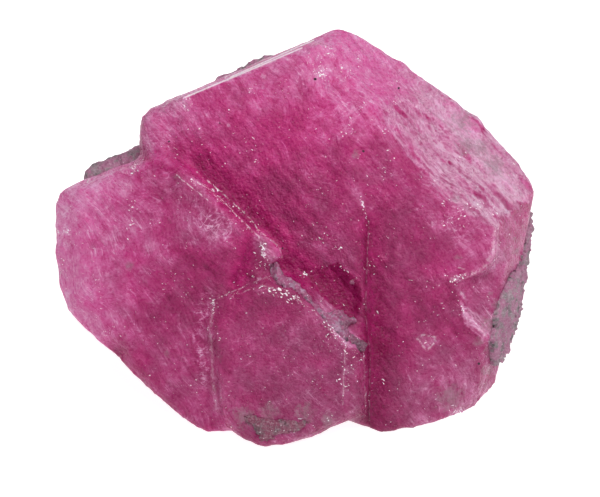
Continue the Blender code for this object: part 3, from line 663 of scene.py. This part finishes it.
class Shader:
    """A material's node tree, built one call to a node. Inputs are numbers or other nodes' outputs."""

    FAR = 100.0  # further from every line than any place on the part, in millimetres

    def __init__(self, name):
        self.material = bpy.data.materials.new(name)
        self.material.use_nodes = True
        self.tree = self.material.node_tree
        self.surface = self.tree.nodes["Principled BSDF"]

    def feed(self, socket, value):
        """Links another node's output to the socket, or sets it to a number, vector or colour."""
        if isinstance(value, bpy.types.NodeSocket):
            self.tree.links.new(value, socket)
        else:
            socket.default_value = value

    def node(self, kind, inputs=(), **settings):
        """A new node of this kind, with these inputs and settings."""
        made = self.tree.nodes.new(kind)
        for key, value in settings.items():
            setattr(made, key, value)
        for key, value in dict(inputs).items():
            self.feed(made.inputs[key], value)
        return made

    def math(self, operation, a, b=0.0, clamp=False):
        """What the operation makes of a and b, held between 0 and 1 with clamp."""
        made = self.node("ShaderNodeMath", {0: a, 1: b}, operation=operation, use_clamp=clamp)
        return made.outputs[0]

    def times(self, a, b):
        """a times b."""
        return self.math("MULTIPLY", a, b)

    def larger(self, a, b):
        """The larger of a and b."""
        return self.math("MAXIMUM", a, b)

    def add(self, value, *shares):
        """value plus each (source, amount) of shares."""
        for source, amount in shares:
            value = self.math("ADD", value, self.times(source, amount))
        return value

    def vector(self, operation, a, b):
        """What the operation makes of two vectors: a vector at index 0, or a number at index 1."""
        return self.node("ShaderNodeVectorMath", {0: a, 1: b}, operation=operation).outputs

    def stored(self, name, kind="Fac"):
        """What the skin keeps under this name for each vertex: a value, or a place where kind is Vector."""
        return self.node("ShaderNodeAttribute", attribute_name=name).outputs[kind]

    def upright(self):
        """The place in the shaping frame, in millimetres."""
        at = self.node("ShaderNodeTexCoord").outputs["Object"]
        inputs = {"Vector": at, "Location": ORIGIN, "Rotation": (-LEAN, 0.0, 0.0), "Scale": (MM, MM, MM)}
        return self.node("ShaderNodeMapping", inputs, vector_type="TEXTURE").outputs[0]

    def drawn_out(self, at, length, width, slope):
        """Places for noise that is drawn out into streaks of this length, width and slope."""
        inputs = {"Vector": at, "Rotation": (0.0, -slope, 0.0), "Scale": (length, 3.0 * width, width)}
        return self.node("ShaderNodeMapping", inputs, vector_type="TEXTURE").outputs[0]

    def noise(self, at, size, detail, roughness=0.55, distortion=0.0):
        """Noise around 0.5, with lumps of this size."""
        inputs = {"Vector": at, "Scale": 1.0 / size, "Detail": detail, "Roughness": roughness}
        return self.node("ShaderNodeTexNoise", {**inputs, "Distortion": distortion}).outputs["Fac"]

    def grains(self, at, size):
        """The distance to the middle of the nearest grain, in grain sizes."""
        return self.node("ShaderNodeTexVoronoi", {"Vector": at, "Scale": 1.0 / size}).outputs["Distance"]

    def swing(self, *noise_inputs):
        """Noise around 0."""
        return self.math("SUBTRACT", self.noise(*noise_inputs), 0.5)

    def shifted(self, at, size, most):
        """The places moved about by noise with lumps of this size, by half of most at the utmost."""
        moves = self.node("ShaderNodeTexNoise", {"Vector": at, "Scale": 1.0 / size, "Detail": 2.0})
        around_zero = self.vector("SUBTRACT", moves.outputs["Color"], (0.5, 0.5, 0.5))[0]
        grown = self.vector("MULTIPLY", around_zero, (most, most, most))[0]
        return self.vector("ADD", at, grown)[0]

    def streaks(self, at, length, width, slope, detail=2.0):
        """Streaky noise around 0, a little crooked."""
        return self.swing(self.drawn_out(at, length, width, slope), 1.0, detail, 0.55, 0.3)

    def hairs(self, at, length, width, slope, thin):
        """Thin lines, 1 along their middles and 0 off them."""
        streak = self.math("ABSOLUTE", self.streaks(at, length, width, slope, 0.0))
        return self.between(streak, 0.0, thin, 1.0, 0.0)

    def between(self, value, low, high, start=0.0, end=1.0):
        """start where value is low or less, end where it is high or more."""
        inputs = {"Value": value, "From Min": low, "From Max": high, "To Min": start, "To Max": end}
        return self.node("ShaderNodeMapRange", inputs, clamp=True).outputs[0]

    def stroke(self, flat, line, width):
        """1 near the middle of a line, and 0 from width off it. flat is the place with no depth."""
        nearest = self.FAR
        for (a0, u0), (a1, u1) in zip(line, line[1:]):
            run = Vector((a1 - a0, 0.0, u1 - u0))
            offset = self.vector("SUBTRACT", flat, (a0, 0.0, u0))[0]
            along = self.vector("DOT_PRODUCT", offset, tuple(run / run.length_squared))[1]
            share = self.math("ADD", along, 0.0, clamp=True)
            reached = self.node("ShaderNodeVectorMath", {0: tuple(run), "Scale": share}, operation="SCALE")
            distance = self.vector("DISTANCE", offset, reached.outputs[0])[1]
            nearest = self.math("MINIMUM", nearest, distance)
        return self.between(nearest, 0.25 * width, width, 1.0, 0.0)

    def dots(self, flat, places):
        """1 on each of these spots, (across, up), radius. flat is the place with no depth."""
        most = 0.0
        for (across, up), radius in places:
            distance = self.vector("DISTANCE", flat, (across, 0.0, up))[1]
            most = self.larger(most, self.between(distance, 0.6 * radius, radius, 1.0, 0.0))
        return most

    def mix(self, share, a, b):
        """Colour a where share is 0, colour b where it is 1, and a blend of both between."""
        made = self.node("ShaderNodeMix", data_type="RGBA")
        for index, value in ((0, share), (6, a), (7, b)):
            self.feed(made.inputs[index], value)
        return made.outputs[2]

    def ramp(self, value, stops):
        """The colour for a value, from stops that are each (value, colour)."""
        made = self.node("ShaderNodeValToRGB", {"Fac": value})
        elements = made.color_ramp.elements
        while len(elements) < len(stops):
            elements.new(0.5)
        for element, (place, colour) in zip(elements, stops):
            element.position = place
            element.color = colour
        return made.outputs["Color"]

    def bump(self, height, depth):
        """Bump of this depth in millimetres."""
        inputs = {"Height": height, "Distance": depth * MM, "Strength": 1.0}
        return self.node("ShaderNodeBump", inputs).outputs[0]

    def finish(self, inputs):
        """Feeds the surface its inputs, and returns the material."""
        for key, value in inputs.items():
            self.feed(self.surface.inputs[key], value)
        return self.material


def srgb(red, green, blue):
    """A colour from its 0 to 255 screen values."""
    screen = (red / 255, green / 255, blue / 255)
    linear = (level / 12.92 if level <= 0.04045 else ((level + 0.055) / 1.055) ** 2.4 for level in screen)
    return (*linear, 1.0)


NO_DEPTH = (1.0, 0.0, 1.0)  # times a place, this leaves out its depth

# The crystals' colours from deep to pale, where they are vivid and where they are dull.
VIVID = (
    (0.0, srgb(124, 6, 66)), (0.2, srgb(150, 18, 88)), (0.4, srgb(176, 38, 108)), (0.55, srgb(190, 58, 126)),
    (0.7, srgb(204, 88, 150)), (0.85, srgb(212, 122, 172)), (1.0, srgb(224, 160, 200)),
)
DULL = (
    (0.0, srgb(104, 24, 62)), (0.2, srgb(124, 36, 78)), (0.4, srgb(138, 50, 92)), (0.55, srgb(150, 68, 108)),
    (0.7, srgb(170, 98, 134)), (0.85, srgb(198, 136, 168)), (1.0, srgb(216, 172, 198)),
)
# White for painted highlights and glints, and for pale worn lines.
PALE_AND_HIGHLIGHT_WHITE = srgb(252, 240, 248)
STAIN = srgb(150, 118, 130)
FLAKE = srgb(206, 150, 182)
BLACK = srgb(45, 25, 38)
# Deep magenta for dark lines; the one beside the seam is painted shade.
DEEP = srgb(150, 25, 90)
ROCK_SHADE = srgb(84, 38, 60)
ROCK_FLECK = srgb(225, 215, 222)


def turbid_tone(look, at, mottle):
    """How pale the crystal is, with the strokes, hairs and cracks in it."""
    bent = look.stored("bent", "Vector")
    patches = look.noise(at, 1.3, 2.0)
    strokes = look.add(
        look.times(look.streaks(bent, 3.0, 0.24, STRIAE_SLOPE), 0.36),
        (look.streaks(bent, 2.2, 0.22, STEEP_SLOPE), 0.28),
        (look.streaks(bent, 1.2, 0.16, CROSSING_SLOPE), 0.18),
    )
    tone = look.add(
        look.times(strokes, look.stored("brushed")), (look.stored("tone"), 1.0),
        (look.swing(at, 0.7, 6.0, 0.68), 0.45), (look.math("SUBTRACT", mottle, 0.5), 0.25),
    )
    hair = look.larger(
        look.hairs(bent, 4.0, 0.36, STRIAE_SLOPE, 0.02),
        look.hairs(bent, 3.0, 0.3, STEEP_SLOPE, 0.02),
    )
    dark_hair = look.hairs(bent, 3.0, 0.34, DARK_SLOPE, 0.02)
    cracks = look.larger(
        look.hairs(bent, 1.2, 0.3, CROSSING_SLOPE, 0.035),
        look.hairs(bent, 1.5, 0.34, LEVEL_SLOPE, 0.035),
    )
    veil = look.between(look.noise(at, 0.5, 3.0), 0.48, 0.68)
    feather = look.add(look.times(cracks, 0.3), (veil, 0.3))
    return look.add(
        tone, (look.times(hair, look.between(patches, 0.42, 0.62)), 0.24),
        (look.times(dark_hair, look.between(patches, 0.6, 0.4)), -0.2),
        (look.times(feather, look.stored("feather")), 1.0),
        (look.times(cracks, look.between(look.noise(at, 0.8, 2.0), 0.48, 0.6)), 0.14),
    )


def with_stains(look, at, colour):
    """The colour with ragged stains and pale flakes in it."""
    ragged = look.noise(at, 0.4, 4.0, 0.7)
    stain = look.between(look.add(ragged, (look.stored("stain"), 0.4)), 0.66, 0.92)
    colour = look.mix(look.times(stain, 0.6), colour, STAIN)
    flake = look.between(look.add(ragged, (look.stored("flake"), 0.45)), 0.8, 0.9)
    return look.mix(look.times(flake, 0.55), colour, FLAKE)


def with_lines(look, at, flat, front, colour):
    """The colour with fine lines along the edges, a little wavy, and broken where the edge is worn away."""
    straight = look.vector("MULTIPLY", at, NO_DEPTH)[0]
    broken = look.between(look.noise(at, 0.35, 2.0), 0.44, 0.58)
    # Dark lines: the top edge's dark line and a dark streak, and beside the seam a painted shadow of its
    # step.
    dark_line = look.larger(look.stroke(straight, TOP_DARK, 0.16), look.stroke(flat, DARK_STREAK, 0.16))
    seam_shadow_line = tuple((across + 0.16, up) for across, up in SEAM[1:])
    dark_line = look.larger(dark_line, look.stroke(flat, seam_shadow_line, 0.14))
    colour = look.mix(look.times(look.times(dark_line, front), 0.4), colour, DEEP)
    # Pale lines, partly worn edges and partly highlights painted along them.
    pale_and_highlight_line = 0.0
    for line, width, strength in PALE_AND_HIGHLIGHT_LINES:
        drawn = look.times(look.stroke(flat, line, width), strength)
        pale_and_highlight_line = look.larger(pale_and_highlight_line, drawn)
    pale_and_highlight_line = look.times(pale_and_highlight_line, broken)
    # Painted highlights: two white lines along the glossy top edge.
    painted_highlight_line = look.larger(look.stroke(straight, TOP_EDGE, 0.1), look.stroke(straight, TOP_SECOND, 0.09))
    pale_and_highlight_line = look.larger(pale_and_highlight_line, look.times(painted_highlight_line, 0.8))
    return look.mix(look.times(pale_and_highlight_line, front), colour, PALE_AND_HIGHLIGHT_WHITE)


def sparks(look, at):
    """Noise in short dashes, whose peaks are the glints: highlights painted white, as on tiny facets."""
    return look.larger(
        look.noise(look.drawn_out(at, 0.34, 0.15, STRIAE_SLOPE), 1.0, 1.0),
        look.noise(look.drawn_out(at, 0.3, 0.16, CROSSING_SLOPE), 1.0, 1.0),
    )


def sapphire_material():
    """Turbid pink sapphire, streaky and mottled, with fine lines, specks, and painted glints and shade."""
    look = Shader("sapphire_look")
    at = look.upright()
    mottle = look.noise(at, 0.24, 2.0)
    tone = turbid_tone(look, at, mottle)
    colour = look.mix(look.stored("dull"), look.ramp(tone, VIVID), look.ramp(tone, DULL))
    colour = with_stains(look, at, colour)
    flat = look.vector("MULTIPLY", look.shifted(at, 0.6, 0.16), NO_DEPTH)[0]
    front = look.stored("front")
    colour = with_lines(look, at, flat, front, colour)

    # Painted glints: white highlights, crowded where the surface is worn.
    crowding = look.add(look.noise(at, 2.2, 5.0, 0.6), (look.stored("wear_and_glints"), 0.35))
    threshold = look.between(crowding, 0.48, 0.86, 0.78, 0.6)
    spark = sparks(look, at)
    painted_glint = look.between(look.math("SUBTRACT", spark, threshold), 0.0, 0.06)
    colour = look.mix(painted_glint, colour, PALE_AND_HIGHLIGHT_WHITE)
    colour = look.mix(look.times(look.dots(flat, SPECKS), front), colour, BLACK)
    height = look.add(look.times(mottle, 0.8), (spark, 0.5))
    return look.finish({
        "Base Color": colour,
        "Roughness": look.between(mottle, 0.3, 0.7, 0.2, 0.45),
        "IOR": 1.5,
        "Specular IOR Level": 0.2,
        "Subsurface Weight": 0.3,
        "Subsurface Radius": (1.0, 0.35, 0.6),
        "Subsurface Scale": 1.2 * MM,
        "Normal": look.bump(height, 0.18),
    })


def rock_material(name, pale, dark, pink, patch):
    """Grainy rock of three screen colours. patch is the width of its patches of colour, in millimetres."""
    look = Shader(name)
    at = look.upright()
    grains = look.grains(at, 0.3)
    patches = look.noise(at, 1.2 * patch, 4.0, 0.6)
    fine = look.noise(at, 0.18, 3.0, 0.6)
    light = look.between(look.math("SUBTRACT", patches, look.stored("shade")), 0.36, 0.64)
    colour = look.mix(light, srgb(*dark), srgb(*pale))
    pinkish = look.between(look.noise(at, patch, 4.0), 0.42, 0.52)
    colour = look.mix(look.times(pinkish, 0.8), colour, srgb(*pink))
    colour = look.mix(look.times(look.stored("shade"), 0.75), colour, ROCK_SHADE)
    colour = look.mix(look.times(look.between(fine, 0.45, 0.7), 0.25), colour, ROCK_FLECK)
    # Painted glints: white highlights scattered over the rock.
    colour = look.mix(look.between(look.noise(at, 0.16, 1.0), 0.72, 0.76), colour, PALE_AND_HIGHLIGHT_WHITE)
    height = look.math("ADD", grains, fine)
    return look.finish({
        "Base Color": colour,
        "Roughness": look.between(fine, 0.3, 0.7, 0.5, 0.85),
        "Normal": look.bump(height, 0.12),
    })


def build_rocks():
    """All pieces of rock, each with its material."""
    looks = {name: rock_material(name, *values) for name, values in ROCK_LOOKS.items()}
    for node, grain, lumps, lowered, flattened, look in ROCKS:
        rock = grow_rock(node, grain, lumps, lowered, flattened)
        rock.data.materials.append(looks[look])


# The studio

def build_floor():
    """A near-white floor, wide enough to fill the picture."""
    bm = bmesh.new()
    bmesh.ops.create_grid(bm, x_segments=1, y_segments=1, size=FLOOR_HALF)
    mesh = bpy.data.meshes.new("floor")
    bm.to_mesh(mesh)
    bm.free()
    floor = bpy.data.objects.new("floor", mesh)
    bpy.context.scene.collection.objects.link(floor)
    look = Shader("floor_white")
    white = (0.5, 0.5, 0.5, 1.0)
    glow = {"Emission Color": (1.0, 1.0, 1.0, 1.0), "Emission Strength": FLOOR_GLOW}
    mesh.materials.append(look.finish({"Base Color": white, "Roughness": 0.9, **glow}))


def area_light(name, place, size, power):
    """A soft round light that shines on the cluster."""
    data = bpy.data.lights.new(name, "AREA")
    data.shape = "DISK"
    data.size = size
    data.energy = power
    light = bpy.data.objects.new(name, data)
    bpy.context.scene.collection.objects.link(light)
    light.location = place
    light.rotation_mode = "QUATERNION"
    light.rotation_quaternion = (Vector(LIGHTS_AIM) - Vector(place)).to_track_quat("-Z", "Y")


def build_lights():
    """The area lights, and an even white sky."""
    for light in LIGHTS:
        area_light(*light)
    world = bpy.data.worlds.new("studio")
    bpy.context.scene.world = world
    world.use_nodes = True
    background = world.node_tree.nodes["Background"]
    background.inputs["Color"].default_value = (1.0, 1.0, 1.0, 1.0)
    background.inputs["Strength"].default_value = WORLD_STRENGTH


def build_camera():
    """A camera square to the front faces, from which the cluster is as large as in the photo."""
    data = bpy.data.cameras.new("camera")
    camera = bpy.data.objects.new("camera", data)
    bpy.context.scene.collection.objects.link(camera)
    data.lens = LENS
    data.sensor_width = SENSOR
    right = Vector((1.0, 0.0, 0.0))
    back = Vector((0.0, -math.cos(LEAN), math.sin(LEAN)))
    up = back.cross(right)
    to_right = (IMAGE_WIDTH / 2 - ORIGIN_PIXEL[0]) / PIXELS_PER_MM * MM
    downwards = (IMAGE_HEIGHT / 2 - ORIGIN_PIXEL[1]) / PIXELS_PER_MM * MM
    distance = IMAGE_WIDTH / PIXELS_PER_MM * MM * LENS / SENSOR
    camera.location = ORIGIN + right * to_right - up * downwards + back * distance
    camera.rotation_mode = "QUATERNION"
    camera.rotation_quaternion = (-back).to_track_quat("-Z", "Y")
    data.clip_start = 0.01
    bpy.context.scene.camera = camera


crystals = grow_crystals()
crystals.data.materials.append(sapphire_material())
build_rocks()
build_floor()
build_lights()
build_camera()
bpy.context.scene.view_settings.view_transform = "Standard"
